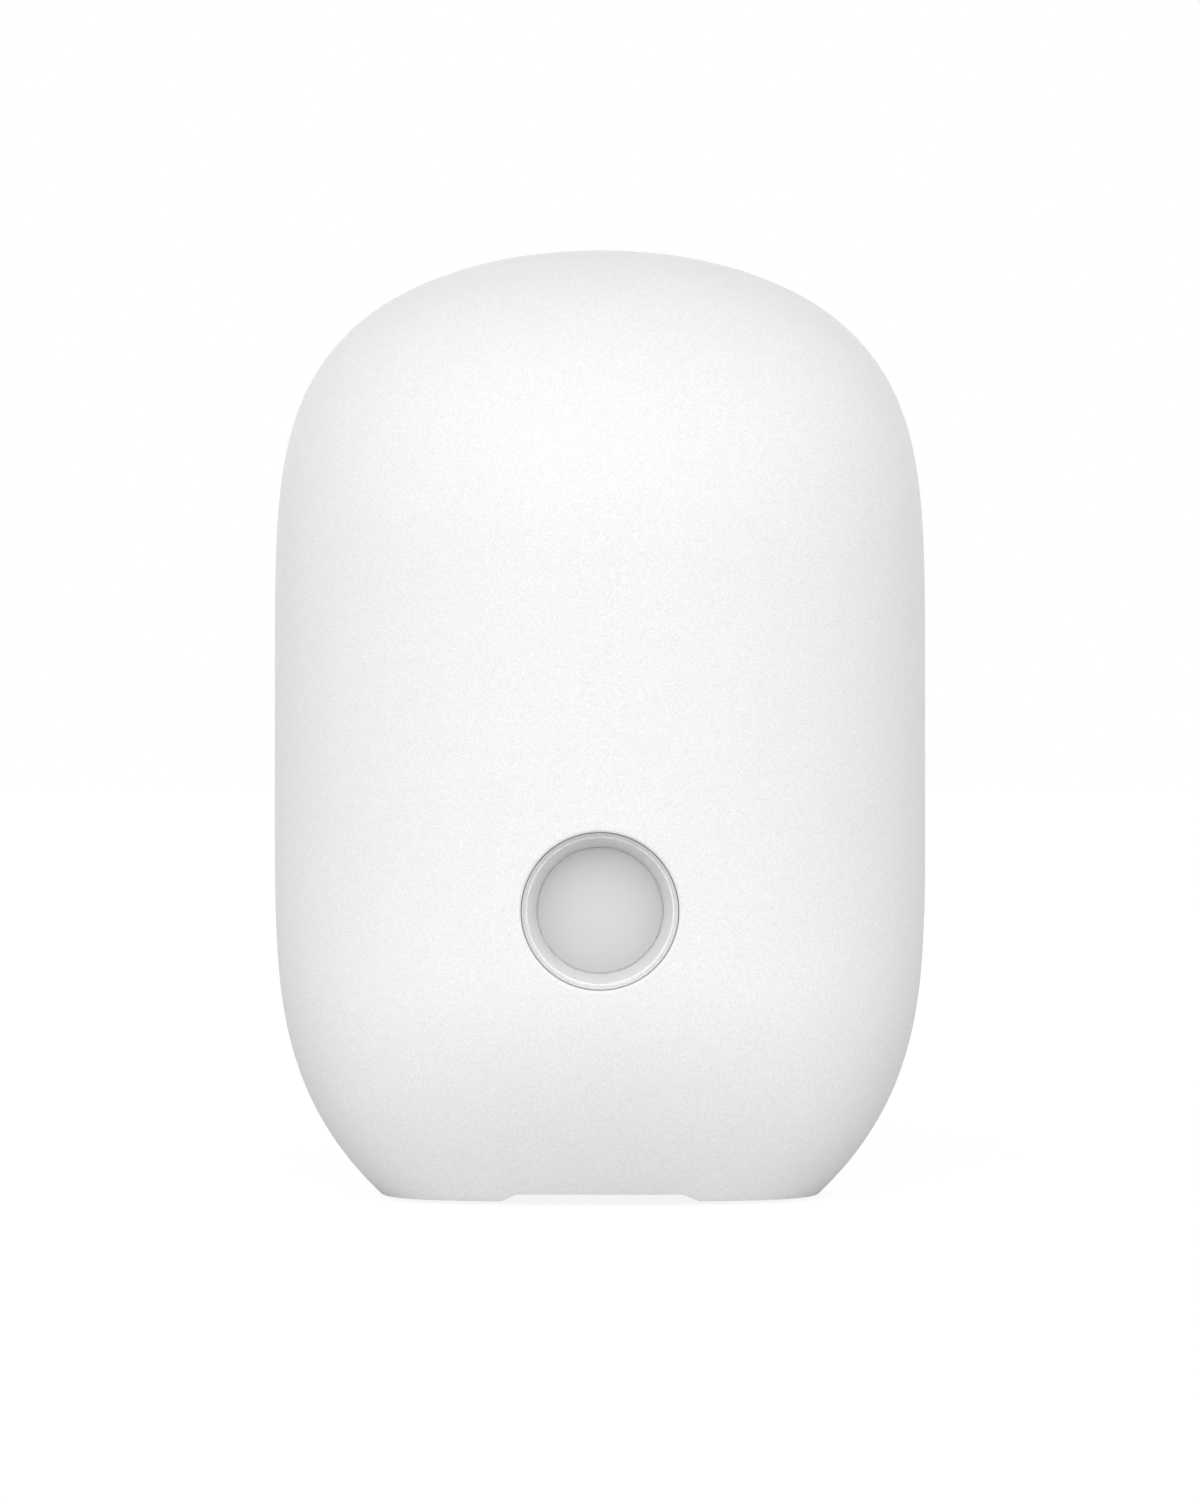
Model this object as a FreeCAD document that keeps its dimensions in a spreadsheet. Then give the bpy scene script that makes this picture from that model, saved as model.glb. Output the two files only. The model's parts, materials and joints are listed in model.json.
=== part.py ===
import FreeCAD, Part

import math
import os
import re

import Sketcher

# A mesh wifi node: a smooth upright shell in two halves, a round push button in a recess on the
# front, two ethernet sockets and a power inlet in a bay at the back, and the board, heatsink,
# antennas and cables that it holds. Millimetres. +Z is up, the front faces -Y, +X is the right
# side as seen from the front, and the origin is the middle of the footprint on the table.

# ---------------------------------------------------------------- driving dimensions

DIMENSIONS = {
    # the outer form
    "width": 90,
    "depth": 64,
    "overall_height": 130.5,
    "rim_height": 0.5,
    "wall": 2.4,
    "root_inset": 0.5,
    # how far a cutting tool runs past the surface that it cuts
    "overcut": 1,
    "waist_height": 66,
    # how the half-width falls away towards the top and the foot
    "side_top_reach": 64.9,
    "side_top_power": 4.74,
    "side_foot_start": 54.8,
    "side_foot_reach": 72.8,
    "side_foot_power": 3.96,
    # how the half-depth falls away towards the top and the foot
    "face_top_reach": 43,
    "face_top_power": 2.1,
    "face_foot_start": 31,
    "face_foot_reach": 49.6,
    "face_foot_power": 2,
    # handle length of each plan quarter: 0.552 is an ellipse, more is squarer
    "roundness": 0.571,
    "foot_roundness": 0.82,
    # the joint between the two housings
    "split_at": 4,
    "split_gap": 0.2,
    "lip_length": 2.4,
    "lip_inset": 1.45,
    "rebate_inset": 1.25,
    # the shallow relief under the front rim
    "relief_width": 21.6,
    "relief_height": 1,
    "relief_ramp": 2.9,
    "relief_reach": 56,
    # base and feet
    "base_low": 2,
    "base_thickness": 2,
    "base_inset": 2.9,
    "base_slot_width": 1.6,
    "base_slot_length": 14,
    "base_slot_pitch": 4,
    "foot_width": 12,
    "foot_depth": 22,
    "foot_offset": 19.5,
    "foot_corner": 4,
    "boss_height": 5.8,
    "boss_web": 1.4,
    "boss_pilot_depth": 5.5,
    # the button recess and the bezel in it
    "button_height": 40,
    "recess_radius": 10.5,
    "recess_round": 0.42,
    "bezel_radius": 10.4,
    "bezel_rim_face": -31,
    "bezel_bead_radius": 9.9,
    "bezel_edge_radius": 9.7,
    "bezel_edge_face": -29.65,
    "bezel_throat_radius": 8.5,
    "bezel_throat_face": -26.9,
    "bezel_lip_back": -26.45,
    "bezel_bore_radius": 9.25,
    "bezel_flange_radius": 13,
    "bezel_flange_face": -27.9,
    "bezel_flange_back": -26.9,
    "bezel_back": -25,
    # the button, its carrier and the switch under it
    "lens_radius": 8.39,
    "lens_face": -26.75,
    "lens_round": 0.15,
    "lens_flange_radius": 9.1,
    "lens_flange_face": -26.3,
    "carrier_face": -24.95,
    "carrier_radius": 9.4,
    "carrier_back": -24.15,
    "carrier_stem_radius": 2.4,
    "plunger_radius": 1.6,
    "plunger_face": -23,
    "plunger_root": -20.8,
    "plunger_clearance": 0.12,
    "plunger_room": 0.8,
    "switch_width": 6,
    "switch_face": -22.3,
    "button_board_face": -19.2,
    "button_board_back": -18,
    "button_board_width": 24,
    "button_board_tall": 18,
    "guide_outer_radius": 7.6,
    "guide_inner_radius": 5.6,
    "guide_face": -23.5,
    "guide_back": -20.2,
    "led_ring_radius": 6.6,
    "led_width": 1.6,
    "led_height": 0.8,
    "bracket_back": -16.4,
    "bracket_width": 42,
    "bracket_low": 31,
    "bracket_high": 44.4,
    "bracket_screw_offset": 17,
    "bracket_screw_level": 37,
    "bracket_corner": 2,
    # main board
    "board_width": 58,
    "board_low": 9,
    "board_high": 108,
    "board_face": 2,
    "board_back": 3.6,
    "board_corner": 3,
    "board_screw_offset": 25,
    "board_screw_low": 38,
    "board_screw_high": 100,
    # chips, shields and the two heat spreaders
    "chip_height": 1.4,
    "pad_thickness": 0.5,
    "pad_margin": 1.75,
    "processor_width": 17,
    "processor_at": 82,
    "memory_width": 8,
    "memory_tall": 12,
    "memory_offset": 17,
    "shield_width": 22,
    "shield_tall": 15,
    "shield_offset": 14,
    "shield_at": 63,
    "shield_skin": 0.25,
    "flash_width": 8,
    "flash_tall": 6,
    "flash_at": 99,
    "heatsink_width": 54,
    "heatsink_low": 54,
    "heatsink_high": 106,
    "heatsink_base": 2.4,
    "heatsink_leg_radius": 2.2,
    "heatsink_screw_offset": 24,
    "heatsink_screw_low": 74,
    "heatsink_screw_high": 92,
    "fin_length": 12,
    "fin_thickness": 1.2,
    "fin_pitch": 4.8,
    "spreader_width": 40,
    "spreader_low": 54,
    "spreader_high": 98,
    "spreader_face": 5.6,
    "spreader_back": 7.1,
    "spreader_corner": 2,
    # the port bay
    "bay_half": 26,
    "bay_low": 11.5,
    "bay_high": 33.5,
    "bay_skin": 1.6,
    "bay_corner": 2,
    "bay_round": 0.5,
    "bay_floor": 17,
    "panel_face": 18.5,
    "panel_flange": 15.9,
    "panel_gap": 0.1,
    "panel_margin": 1,
    "panel_clearance": 0.3,
    # ethernet sockets
    "socket_width": 15.9,
    "socket_tall": 13.4,
    "socket_skin": 0.25,
    "socket_left": -14.5,
    "socket_right": 2.5,
    "socket_at": 22.2,
    "socket_mouth_width": 11.9,
    "socket_mouth_tall": 7.1,
    "socket_mouth_low": 18.2,
    "socket_mouth_floor": 6,
    "socket_gap": 0.1,
    "latch_width": 6.2,
    "latch_tall": 1.5,
    "contact_pitch": 1.02,
    "contact_width": 0.5,
    "contact_thickness": 0.3,
    "contact_length": 9,
    "contact_slope": 7,
    "contact_drop": 1.4,
    # power inlet
    "inlet_at": 18.2,
    "inlet_level": 17.6,
    "inlet_width": 8.94,
    "inlet_tall": 3.26,
    "inlet_skin": 0.3,
    "inlet_corner": 1.6,
    "inlet_floor": 5.6,
    "tongue_width": 6.2,
    "tongue_thickness": 0.7,
    "tongue_inset": 1,
    # reset button
    "reset_level": 27,
    "reset_radius": 1.5,
    "reset_hole_radius": 1.65,
    "reset_face": 18.2,
    "reset_flange_radius": 2.3,
    "reset_flange_back": 14.6,
    "reset_flange_face": 15.7,
    "reset_stem_radius": 1.2,
    "reset_stem_end": 8.1,
    "reset_switch_top": 7.1,
    "reset_plunger_root": 5.9,
    "reset_bore_floor": 5.1,
    # small parts on the back of the board
    "magnetics_width": 13,
    "magnetics_tall": 8,
    "magnetics_height": 5.6,
    "magnetics_at": 37,
    "inductor_width": 6,
    "inductor_height": 3,
    "inductor_at": 13.2,
    "inductor_level": 41,
    "inductor_pitch": 8,
    "capacitor_radius": 2.5,
    "capacitor_height": 5.8,
    "capacitor_at": 6.7,
    "capacitor_level": 44.5,
    "capacitor_pitch": 6.4,
    "power_chip_width": 5,
    "power_chip_at": 17.2,
    "power_chip_level": 56.5,
    "bridge_width": 10,
    "bridge_at": 46.5,
    # antennas, their holders and coaxial leads
    "antenna_thickness": 0.8,
    "antenna_side": 37,
    "antenna_side_width": 12,
    "antenna_side_low": 56,
    "antenna_side_high": 92,
    "antenna_top_level": 116,
    "antenna_top_inner": 4,
    "antenna_top_outer": 26,
    "antenna_top_front": -5,
    "antenna_top_back": 7,
    "holder_thickness": 1.5,
    "holder_tab": 5,
    "holder_tab_low": 64,
    "holder_tab_high": 86,
    "holder_margin": 2,
    "holder_low": 61,
    "holder_lap": 2,
    "holder_leg_inner": 14,
    "holder_leg_outer": 20,
    "holder_leg_lap": 4,
    "holder_top_back": 4,
    "coax_radius": 0.57,
    "coax_plug_radius": 1.4,
    "coax_plug_height": 1.3,
    "coax_side_offset": 22.5,
    "coax_side_level": 68,
    "coax_top_offset": 10,
    "coax_top_level": 104.4,
    # how each lead leaves its plug, arches over the board and lands on its antenna
    "coax_exit": 0.4,
    "coax_arch": 2.7,
    "coax_swing": 3.9,
    "coax_drop": 0.8,
    "coax_turn": 4.5,
    "coax_land": 0.8,
    "coax_dip": 2,
    "coax_top_swing": 0.6,
    "coax_top_rise": 4,
    "coax_top_reach": 2,
    "coax_top_gap": 0.7,
    # ribbon cable
    "ribbon_width": 6,
    "ribbon_thickness": 0.3,
    "ribbon_level": 47,
    "ribbon_sag": 3,
    "ribbon_plug_width": 8,
    "ribbon_plug_tall": 2.6,
    "ribbon_plug_depth": 1.5,
    # fasteners
    "screw_radius": 1.1,
    "screw_pilot_radius": 1.2,
    "screw_head_radius": 2.1,
    "screw_head_height": 1.2,
    "screw_recess": 0.7,
    "screw_recess_width": 0.5,
    "screw_length": 6,
    "post_radius": 2.8,
    "base_screw_side": 9,
    "base_screw_reach": 14.2,
    "seat_clearance": 0.3,
    "post_pilot_depth": 8,
    # cooling slots high on the back
    "vent_width": 1.6,
    "vent_low": 86,
    "vent_high": 100,
    "vent_pitch": 4,
    "vent_round": 0.75,
    "vent_root": 10,
}

VENT_COUNT = 10
FIN_COUNT = 12
BASE_SLOT_COUNT = 5
CONTACT_COUNT = 8
LED_COUNT = 4
STATIONS_BELOW_WAIST = 10
STATIONS_ABOVE_WAIST = 14
RELIEF_STEPS = 8
RIBBON_STEPS = 6

# two places closer than this are one place
NEAR = 0.01

# how much of an inset shortens the foot's reach, so that the wall keeps its thickness there
SIDE_FOOT_SHARE = 0.6
FACE_FOOT_SHARE = 1.3

doc = FreeCAD.newDocument("mesh_wifi_node")
sheet = doc.addObject("Spreadsheet::Sheet", "sizes")
for row, (alias, amount) in enumerate(DIMENSIONS.items(), start=1):
    sheet.set("A%d" % row, alias)
    sheet.set("B%d" % row, str(amount))
    sheet.setAlias("B%d" % row, alias)
doc.recompute()

made = []


# ---------------------------------------------------------------- helpers


def bound(text):
    """Turn plain dimension names in an expression into references to the sheet."""
    return re.sub(r"[a-z][a-z_]*", lambda word: "sizes." + word.group(), text)


def number(text):
    """The value of an expression written in dimension names."""
    return float(sheet.evalExpression(bound(text)))


def middle(at, size):
    """Ends of a stretch of a given size about a middle."""
    return "(%s) - (%s) / 2" % (at, size), "(%s) + (%s) / 2" % (at, size)


def both_ways(half):
    """Ends of a stretch from minus half to plus half."""
    return "-(%s)" % half, half


def box(name, x, y, z):
    """A block between two expressions along each axis."""
    item = doc.addObject("Part::Box", name)
    for side, axis, (low, high) in zip(("Length", "Width", "Height"), "xyz", (x, y, z)):
        item.setExpression(side, bound("(%s) - (%s)" % (high, low)))
        item.setExpression("Placement.Base." + axis, bound(low))
    return item


def rod(name, radius, x, y, z):
    """A cylinder along the one axis whose place is a pair of expressions."""
    item = doc.addObject("Part::Cylinder", name)
    item.setExpression("Radius", bound(radius))
    if isinstance(x, tuple):
        item.Placement.Rotation = FreeCAD.Rotation(FreeCAD.Vector(0, 1, 0), 90)
    if isinstance(y, tuple):
        item.Placement.Rotation = FreeCAD.Rotation(FreeCAD.Vector(1, 0, 0), -90)
    for axis, place in zip("xyz", (x, y, z)):
        if isinstance(place, tuple):
            item.setExpression("Height", bound("(%s) - (%s)" % (place[1], place[0])))
            place = place[0]
        item.setExpression("Placement.Base." + axis, bound(place))
    return item


def fuse(name, items):
    item = doc.addObject("Part::MultiFuse", name)
    item.Shapes = items
    return item


def cut(name, base, tools):
    """Take the tools away one after the other; the last step carries the name."""
    item = base
    for index, tool in enumerate(tools, start=1):
        step = doc.addObject("Part::Cut", name if tool is tools[-1] else "%s_cut_%d" % (name, index))
        step.Base = item
        step.Tool = tool
        item = step
    return item


def common(name, items):
    item = doc.addObject("Part::MultiCommon", name)
    item.Shapes = items
    return item


def group(name, items):
    """Separate solids that share one node."""
    item = doc.addObject("Part::Compound", name)
    item.Links = items
    return item


def fixed_shape(name, shape):
    """A shape from Part's own functions, for a form that no feature makes."""
    item = doc.addObject("Part::Feature", name)
    item.Shape = shape
    return item


def rounded(name, item, radius, wanted):
    """Round the edges that the wanted function picks."""
    doc.recompute()
    amount = number(radius)
    picked = [index for index, edge in enumerate(item.Shape.Edges, start=1) if wanted(edge)]
    if not picked:
        raise RuntimeError("no edges to round on " + item.Name)
    result = doc.addObject("Part::Fillet", name)
    result.Base = item
    result.Edges = [(index, amount, amount) for index in picked]
    return result


def along(axis):
    """Picks straight edges that run along one axis."""
    direction = {"x": (1, 0, 0), "y": (0, 1, 0), "z": (0, 0, 1)}[axis]

    def test(edge):
        if not isinstance(edge.Curve, Part.Line):
            return False
        return abs(edge.tangentAt(edge.FirstParameter).dot(FreeCAD.Vector(*direction))) > 0.999

    return test


def outline(sketch, corners):
    """A closed polygon whose corners are pairs of expressions, each bound to the sheet."""
    places = [FreeCAD.Vector(number(across), number(up), 0) for across, up in corners]
    count = len(places)
    for index in range(count):
        sketch.addGeometry(Part.LineSegment(places[index], places[(index + 1) % count]), False)
    for index in range(count):
        sketch.addConstraint(Sketcher.Constraint("Coincident", index, 2, (index + 1) % count, 1))
    for index, pair in enumerate(corners):
        for kind, text, axis in zip(("DistanceX", "DistanceY"), pair, (-2, -1)):
            if number(text) == 0:
                sketch.addConstraint(Sketcher.Constraint("PointOnObject", index, 1, axis))
                continue
            rule = Sketcher.Constraint(kind, -1, 1, index, 1, number(text))
            slot = sketch.addConstraint(rule)
            sketch.setExpression("Constraints[%d]" % slot, bound(text))


def new_sketch(body, name, role):
    """A sketch on one of the body's own origin planes."""
    sketch = body.newObject("Sketcher::SketchObject", name)
    plane = [item for item in body.Origin.OriginFeatures if item.Role == role][0]
    sketch.AttachmentSupport = [(plane, "")]
    sketch.MapMode = "FlatFace"
    return sketch


def turned(name, profile, height):
    """A body turned about its own Y axis from (radius, depth) corners, set at a height."""
    body = doc.addObject("PartDesign::Body", name)
    sketch = new_sketch(body, name + "_profile", "XY_Plane")
    outline(sketch, profile)
    turn = body.newObject("PartDesign::Revolution", name + "_turn")
    turn.Profile = sketch
    turn.ReferenceAxis = (sketch, ["V_Axis"])
    turn.Angle = 360
    body.setExpression("Placement.Base.z", bound(height))
    return body


def keep(item):
    """Hand a finished sub-part to the export, labelled with its own name."""
    item.Label = item.Name
    made.append(item)
    return item


# ---------------------------------------------------------------- the smooth outer form


def falling(level, top, size, reach, power, start, foot_reach, foot_power):
    """Half-size at a level: full at the waist, round over the top, drawn in at the foot."""
    rise = max(0.0, 1 - (top - level) / reach)
    drop = max(0.0, (start - level) / foot_reach)
    return size * math.sqrt(max(0.0, 1 - rise ** power)) * (1 - drop ** foot_power)


def form_solid(inset, low):
    """The outer form drawn in by an inset, from a low level up to its crown."""
    rim = number("rim_height")
    top = number("overall_height") - rim - inset
    waist = number("waist_height")

    def half_width(level):
        return falling(
            level, top, number("width / 2") - inset,
            number("side_top_reach") - inset, number("side_top_power"), number("side_foot_start"),
            number("side_foot_reach") - SIDE_FOOT_SHARE * inset, number("side_foot_power"))

    def half_depth(level):
        return falling(
            level, top, number("depth / 2") - inset,
            number("face_top_reach") - inset, number("face_top_power"), number("face_foot_start"),
            number("face_foot_reach") - FACE_FOOT_SHARE * inset, number("face_foot_power"))

    levels = [
        low + (waist - low) * step / STATIONS_BELOW_WAIST
        for step in range(STATIONS_BELOW_WAIST)
    ]
    levels += [
        waist + (top - waist) * math.sin(math.pi / 2 * step / STATIONS_ABOVE_WAIST)
        for step in range(STATIONS_ABOVE_WAIST)
    ]
    spots = [FreeCAD.Vector(half_width(level), half_depth(level), level + rim) for level in levels]
    profile = Part.BSplineCurve()
    profile.interpolate(spots + [FreeCAD.Vector(0, 0, top + rim)])

    def pull(spot):
        """Handle length of the plan quarters, longer near the foot."""
        near_foot = min(1.0, max(0.0, 1 - (spot.z - rim) / number("side_foot_start")))
        return number("roundness") + number("foot_roundness - roundness") * near_foot ** 2

    def half_face(front):
        """The front or the back half of the form as one smooth face."""
        lines = []
        for spot in profile.getPoles():
            handle = pull(spot)
            around = [(-1, 0), (-1, handle), (-handle, 1), (handle, 1), (1, handle), (1, 0)]
            lines.append([
                FreeCAD.Vector(across * spot.x, front * deep * spot.y, spot.z)
                for across, deep in around
            ])
        surface = Part.BSplineSurface()
        surface.buildFromPolesMultsKnots(
            [list(line) for line in zip(*lines)],
            [4, 2, 4], profile.getMultiplicities(),
            [0, 1, 2], profile.getKnots(),
            False, False, 3, profile.Degree)
        return surface.toShape()

    faces = [half_face(-1), half_face(1)]
    edges = [edge for face in faces for edge in face.Edges if not edge.Degenerated]
    foot = [edge for edge in edges if edge.BoundBox.ZLength < 0.001]
    floor = Part.Face(Part.Wire(Part.__sortEdges__(foot)))
    shell = Part.makeShell(faces + [floor])
    shell.sewShape()
    solid = Part.makeSolid(shell)
    if solid.Volume < 0:
        solid.reverse()
    return solid


outer_form = fixed_shape("outer_form", form_solid(0, 0))
inner_form = fixed_shape("inner_form", form_solid(number("wall"), -1))
lip_form = fixed_shape("lip_form", form_solid(number("lip_inset"), 0))
rebate_form = fixed_shape("rebate_form", form_solid(number("rebate_inset"), -1))
base_form = fixed_shape("base_form", form_solid(number("base_inset"), 0))
root_form = fixed_shape("root_form", form_solid(number("root_inset"), 0))

FAR = "width"
EVERYWHERE = both_ways(FAR)
UP = ("-overcut", "overall_height + overcut")


def slab(name, y):
    """Everything between two depths."""
    return box(name, EVERYWHERE, y, UP)


# ---------------------------------------------------------------- fasteners


def screw(name, axis, places, seat, way, length="screw_length"):
    """Identical screws with a cross recess, as one group; way is +1 or -1 along the axis."""
    solids = []
    for index, place in enumerate(places, start=1):
        label = "%s_%d" % (name, index)
        if way > 0:
            head = ("(%s) - screw_head_height" % seat, seat)
            shank = (seat, "(%s) + %s" % (seat, length))
            recess = (head[0], "(%s) + screw_recess" % head[0])
        else:
            head = (seat, "(%s) + screw_head_height" % seat)
            shank = ("(%s) - %s" % (seat, length), seat)
            recess = ("(%s) - screw_recess" % head[1], head[1])

        def spread(stretch):
            first, second = place
            return (first, stretch, second) if axis == "y" else (first, second, stretch)

        def arm(part, wide, tall):
            first, second = middle(place[0], wide), middle(place[1], tall)
            if axis == "y":
                return box(label + part, first, recess, second)
            return box(label + part, first, second, recess)

        solid = fuse(label + "_blank", [
            rod(label + "_head", "screw_head_radius", *spread(head)),
            rod(label + "_shank", "screw_radius", *spread(shank)),
        ])
        solids.append(cut(label, solid, [
            arm("_arm_one", "screw_head_radius", "screw_recess_width"),
            arm("_arm_two", "screw_recess_width", "screw_head_radius"),
        ]))
    return keep(group(name, solids))


SIDES = ("-", "")
BASE_SCREWS = [(a + "base_screw_side", b + "base_screw_reach") for a in SIDES for b in SIDES]
BOARD_SCREWS = [
    (side + "board_screw_offset", level)
    for side in SIDES for level in ("board_screw_low", "board_screw_high")
]
HEATSINK_SCREWS = [
    (side + "heatsink_screw_offset", level)
    for side in SIDES for level in ("heatsink_screw_low", "heatsink_screw_high")
]
BRACKET_SCREWS = [(side + "bracket_screw_offset", "bracket_screw_level") for side in SIDES]


def base_bosses(side, sign):
    """Bosses that take the base screws, each tied to the wall by a web."""
    bosses = []
    for index, (x, _) in enumerate(BASE_SCREWS[::2], start=1):
        reach = ("base_screw_reach", "depth / 2") if sign > 0 else ("-depth / 2", "-base_screw_reach")
        label = "%s_boss_%d" % (side, index)
        level = ("base_low + base_thickness", "base_low + base_thickness + boss_height")
        deep = "base_screw_reach" if sign > 0 else "-base_screw_reach"
        pillar = rod(label + "_pillar", "post_radius", x, deep, level)
        web = box(label + "_web", middle(x, "boss_web"), reach, level)
        bosses.append(common(label, [fuse(label + "_raw", [pillar, web]), root_form]))
    return bosses


def base_pilots(side, sign):
    deep = "base_screw_reach" if sign > 0 else "-base_screw_reach"
    level = ("base_low", "base_low + base_thickness + boss_pilot_depth")
    return [
        rod("%s_pilot_%d" % (side, index), "screw_pilot_radius", x, deep, level)
        for index, (x, _) in enumerate(BASE_SCREWS[::2], start=1)
    ]


# ---------------------------------------------------------------- front housing


def relief_tool():
    """The shallow arch under the front rim, with an S-shaped ramp at each end."""
    half = number("relief_width / 2")
    ramp = number("relief_ramp")
    rim = number("rim_height")
    rise = number("relief_height")
    edge = []
    for step in range(RELIEF_STEPS + 1):
        share = step / RELIEF_STEPS
        swell = share * share * (3 - 2 * share)
        edge.append(FreeCAD.Vector(half + ramp * (1 - share), 0, rim + rise * swell))
    mirrored = [FreeCAD.Vector(-spot.x, 0, spot.z) for spot in reversed(edge)]
    low = FreeCAD.Vector(0, 0, -number("overcut"))
    corners = [edge[0] + low] + edge + mirrored + [mirrored[-1] + low, edge[0] + low]
    face = Part.Face(Part.makePolygon(corners))
    face.translate(FreeCAD.Vector(0, -number("depth"), 0))
    return fixed_shape("relief_tool", face.extrude(FreeCAD.Vector(0, number("relief_reach"), 0)))


def front_housing():
    front = slab("front_half", ("-depth", "split_at - split_gap / 2"))
    skin = cut("front_skin", outer_form, [inner_form])
    shell = common("front_shell", [skin, front])
    rebate_zone = slab("rebate_zone", ("split_at - lip_length", "split_at + overcut"))
    rebate = common("front_rebate", [rebate_form, rebate_zone])
    recess = rod("recess_hole", "recess_radius", "0", ("-depth", "-depth / 4"), "button_height")
    blank = cut("front_blank", shell, [rebate, recess, relief_tool()])
    post_length = ("-depth / 2", "button_board_back")
    posts = []
    pilots = []
    for index, (x, z) in enumerate(BRACKET_SCREWS, start=1):
        label = "front_post_%d" % index
        posts.append(common(label, [
            rod(label + "_raw", "post_radius", x, post_length, z),
            root_form,
        ]))
        pilot_length = ("button_board_back - screw_length - overcut", "button_board_back")
        pilots.append(rod(label + "_pilot", "screw_pilot_radius", x, pilot_length, z))
    solid = fuse("front_solid", [blank] + posts + base_bosses("front", -1))
    bored = cut("front_bored", solid, pilots + base_pilots("front", -1))
    radius = number("recess_radius")
    height = number("button_height")
    face = number("-depth / 2")

    def on_recess_mouth(edge):
        if edge.Degenerated or edge.BoundBox.YMax > face + number("overcut"):
            return False
        spots = edge.discretize(5)
        return all(abs(math.hypot(spot.x, spot.z - height) - radius) < NEAR for spot in spots)

    return keep(rounded("front_housing", bored, "recess_round", on_recess_mouth))


# ---------------------------------------------------------------- rear housing and port bay


def vent_slots():
    """A row of upright rounded cooling slots through the back wall."""
    slots = []
    for index in range(VENT_COUNT):
        x = "vent_pitch * %g" % (index - (VENT_COUNT - 1) / 2)
        label = "vent_%d" % (index + 1)
        raw = box(label + "_raw", middle(x, "vent_width"), ("vent_root", "depth"), ("vent_low", "vent_high"))
        slots.append(rounded(label, raw, "vent_round", along("y")))
    return slots


def on_bay_mouth(edge):
    """Picks the edges where the mouth of the bay breaks through the outer surface."""
    if edge.Degenerated or edge.BoundBox.YMin < number("panel_face + overcut") or along("y")(edge):
        return False
    half = number("bay_half")
    low = number("bay_low")
    high = number("bay_high")
    return all(
        abs(spot.x) < half + NEAR and low - NEAR < spot.z < high + NEAR
        for spot in edge.discretize(5)
    )


def rear_housing():
    rear = slab("rear_half", ("split_at + split_gap / 2", "depth"))
    skin = cut("rear_skin", outer_form, [inner_form])
    shell = common("rear_shell", [skin, rear])
    lip_zone = slab("lip_zone", ("split_at - lip_length + split_gap", "split_at + lip_length"))
    lip_ring = cut("lip_ring", lip_form, [inner_form])
    lip = common("rear_lip", [lip_ring, lip_zone])
    bay_block = box(
        "bay_block", both_ways("bay_half + bay_skin"), ("bay_floor", "depth"),
        ("bay_low - bay_skin", "bay_high + bay_skin"))
    bay = common("bay_frame", [bay_block, outer_form])
    mouth_block = box(
        "bay_mouth_raw", both_ways("bay_half"), ("bay_floor - overcut", "depth"), ("bay_low", "bay_high"))
    mouth = rounded("bay_mouth", mouth_block, "bay_corner", along("y"))
    pilot_length = ("board_back", "board_back + post_pilot_depth")
    posts = []
    pilots = []
    for index, (x, z) in enumerate(BOARD_SCREWS, start=1):
        label = "rear_post_%d" % index
        posts.append(common(label, [
            rod(label + "_raw", "post_radius", x, ("board_back", "depth"), z),
            root_form,
        ]))
        pilots.append(rod(label + "_pilot", "screw_pilot_radius", x, pilot_length, z))
    solid = fuse("rear_solid", [shell, lip, bay] + posts + base_bosses("rear", 1))
    bored = cut("rear_bored", solid, [mouth] + vent_slots() + pilots + base_pilots("rear", 1))
    return keep(rounded("rear_housing", bored, "bay_round", on_bay_mouth))


def port_panel():
    plug_block = box(
        "panel_plug_raw", both_ways("bay_half - panel_gap"), ("bay_floor", "panel_face"),
        ("bay_low + panel_gap", "bay_high - panel_gap"))
    plug = rounded("panel_plug", plug_block, "bay_corner - panel_gap", along("y"))
    flange = box(
        "panel_flange_plate", both_ways("bay_half + panel_margin"), ("panel_flange", "bay_floor"),
        ("bay_low - panel_margin", "bay_high + panel_margin"))
    through = ("panel_flange - overcut", "panel_face + overcut")
    holes = [
        box(
            "panel_hole_" + side, middle("socket_" + side, "socket_width + panel_clearance"), through,
            middle("socket_at", "socket_tall + panel_clearance"))
        for side in ("left", "right")
    ]
    inlet = box(
        "panel_inlet_raw", middle("inlet_at", "inlet_width + panel_clearance"), through,
        middle("inlet_level", "inlet_tall + panel_clearance"))
    holes.append(rounded("panel_inlet", inlet, "inlet_corner", along("y")))
    holes.append(rod("panel_reset", "reset_hole_radius", "inlet_at", through, "reset_level"))
    return keep(cut("port_panel", fuse("panel_blank", [plug, flange]), holes))


# ---------------------------------------------------------------- base and feet


def base_plate():
    level = ("base_low", "base_low + base_thickness")
    blank = common("base_blank", [base_form, box("base_slab", EVERYWHERE, EVERYWHERE, level)])
    cuts = []
    for index in range(BASE_SLOT_COUNT):
        y = "base_slot_pitch * %g" % (index - (BASE_SLOT_COUNT - 1) / 2)
        raw = box(
            "base_slot_%d_raw" % (index + 1), both_ways("base_slot_length / 2"),
            middle(y, "base_slot_width"), UP)
        cuts.append(rounded("base_slot_%d" % (index + 1), raw, "vent_round", along("z")))
    for index, (x, y) in enumerate(BASE_SCREWS, start=1):
        cuts.append(rod("base_clear_%d" % index, "screw_pilot_radius", x, y, UP))
        seat = ("base_low - overcut", "base_low + screw_head_height")
        cuts.append(rod("base_seat_%d" % index, "screw_head_radius + seat_clearance", x, y, seat))
    return keep(cut("base_plate", blank, cuts))


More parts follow.
